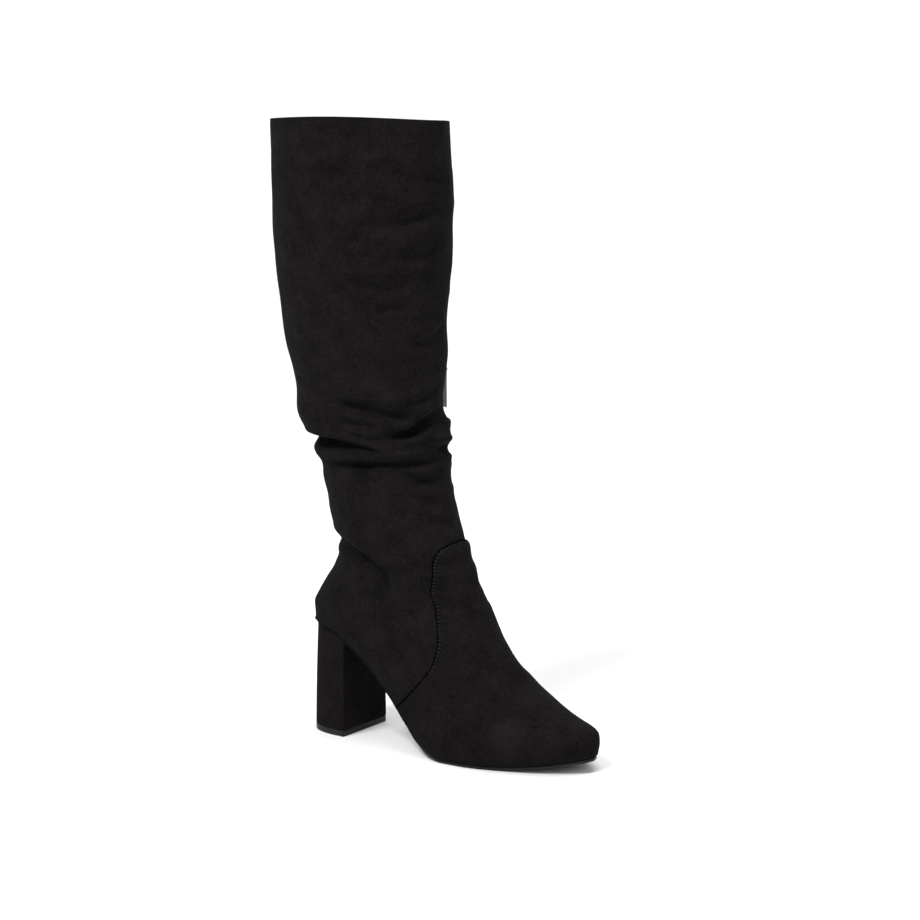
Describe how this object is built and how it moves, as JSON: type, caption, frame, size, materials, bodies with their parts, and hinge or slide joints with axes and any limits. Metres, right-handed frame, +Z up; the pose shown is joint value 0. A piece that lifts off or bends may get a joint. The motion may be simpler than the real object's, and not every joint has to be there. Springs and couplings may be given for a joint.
{
  "type": "slouch boot",
  "caption": "Knee-high slouch boot for the right foot, with a soft folded leg, almond toe, covered block heel and a half-length zip on the medial side.",
  "frame": {"origin": "middle of the heel lift where it meets the floor", "axes": "+X to the toe, +Y to the medial side, +Z up from the floor to the collar"},
  "size_m": [0.2643, 0.1042, 0.442],
  "materials": {
    "suede": "matte nap",
    "heel_cover": "matte nap",
    "sole": "satin",
    "lining": "smooth",
    "zip_tape": "woven",
    "zip_metal": "dark nickel"
  },
  "bodies": {
    "boot": {"upper": "suede", "vamp": "suede", "insole": "lining", "outsole": "sole", "heel_block": "heel_cover", "heel_lift": "sole", "zip_chain": "zip_tape", "zip_slider": "zip_metal"},
    "zip_pull": {"zip_pull": "zip_metal"}
  },
  "joints": [
    {"name": "pull_hinge", "type": "hinge", "parent": "boot", "child": "zip_pull", "pos_m": [0.06183, 0.03994, 0.26413], "axis": [0.8721, -0.4894, 0], "range_deg": [0, 160]}
  ]
}
